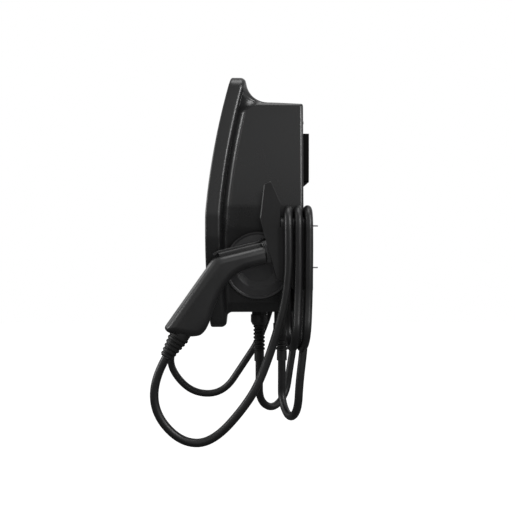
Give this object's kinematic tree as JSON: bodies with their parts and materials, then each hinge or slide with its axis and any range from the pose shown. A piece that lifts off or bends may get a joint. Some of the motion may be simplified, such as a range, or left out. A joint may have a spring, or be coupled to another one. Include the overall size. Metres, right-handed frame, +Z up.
{
  "type": "ev wallbox",
  "caption": "Wall charging station for electric vehicles: bowed cover on a tapered housing, with a holstered connector, a cable hook and a looped charging cable on each side.",
  "frame": {"origin": "on the wall face, at the centre of the wall bracket", "axes": "+Z up, +Y into the wall, +X to the right as seen by someone who faces the unit"},
  "size_m": [0.3876, 0.3459, 0.7717],
  "materials": {
    "housing": "satin moulded polycarbonate",
    "moulding": "fine-textured moulding",
    "window": "dark gloss",
    "light": "translucent",
    "rubber": "matt rubber",
    "cable": "satin cable jacket",
    "steel": "zinc plated",
    "sheet": "powder coat",
    "brass": "machined",
    "board": "solder mask",
    "devices": "moulded cases",
    "contacts": "silver plated"
  },
  "bodies": {
    "station": {"rear_housing": "housing", "front_cover": "housing", "housing_gasket": "rubber", "cover_screws": "steel", "display_window": "window", "display_board": "board", "status_light": "light", "chassis_plate": "steel", "plate_screws": "steel", "board_spacers": "brass", "main_board": "board", "board_screws": "steel", "contactor_1": "devices", "contactor_2": "devices", "power_supply": "devices", "current_sensor": "devices", "terminal_block": "devices", "entry_grommet": "rubber", "wall_bracket": "sheet", "right_gland_body": "moulding", "right_gland_locknut": "moulding", "right_gland_nut": "moulding", "right_gland_sleeve": "rubber", "right_holster": "moulding", "right_holster_screws": "steel", "right_cable_hook": "moulding", "right_hook_screws": "steel", "right_connector_shell_inner": "moulding", "right_connector_shell_outer": "moulding", "right_connector_screws": "steel", "right_connector_nose": "moulding", "right_contact_carrier": "moulding", "right_contacts": "contacts", "right_latch_pin": "steel", "right_latch_spring": "steel", "right_cable_boot": "rubber", "right_charge_cable": "cable", "left_gland_body": "moulding", "left_gland_locknut": "moulding", "left_gland_nut": "moulding", "left_gland_sleeve": "rubber", "left_holster": "moulding", "left_holster_screws": "steel", "left_cable_hook": "moulding", "left_hook_screws": "steel", "left_connector_shell_inner": "moulding", "left_connector_shell_outer": "moulding", "left_connector_screws": "steel", "left_connector_nose": "moulding", "left_contact_carrier": "moulding", "left_contacts": "contacts", "left_latch_pin": "steel", "left_latch_spring": "steel", "left_cable_boot": "rubber", "left_charge_cable": "cable"},
    "right_latch": {"right_latch_lever": "moulding"},
    "left_latch": {"left_latch_lever": "moulding"}
  },
  "joints": [
    {"name": "right_latch_hinge", "type": "hinge", "parent": "station", "child": "right_latch", "pos_m": [0.13831, -0.14173, -0.19481], "axis": [0.9781, 0.2079, 0], "range_deg": [0, 4], "stiffness_Nm_per_rad": 0.6, "springref_deg": -3.44, "deforming": ["right_latch_spring"]},
    {"name": "left_latch_hinge", "type": "hinge", "parent": "station", "child": "left_latch", "pos_m": [-0.13831, -0.14173, -0.19481], "axis": [0.9781, -0.2079, 0], "range_deg": [0, 4], "stiffness_Nm_per_rad": 0.6, "springref_deg": -3.44, "deforming": ["left_latch_spring"]}
  ]
}
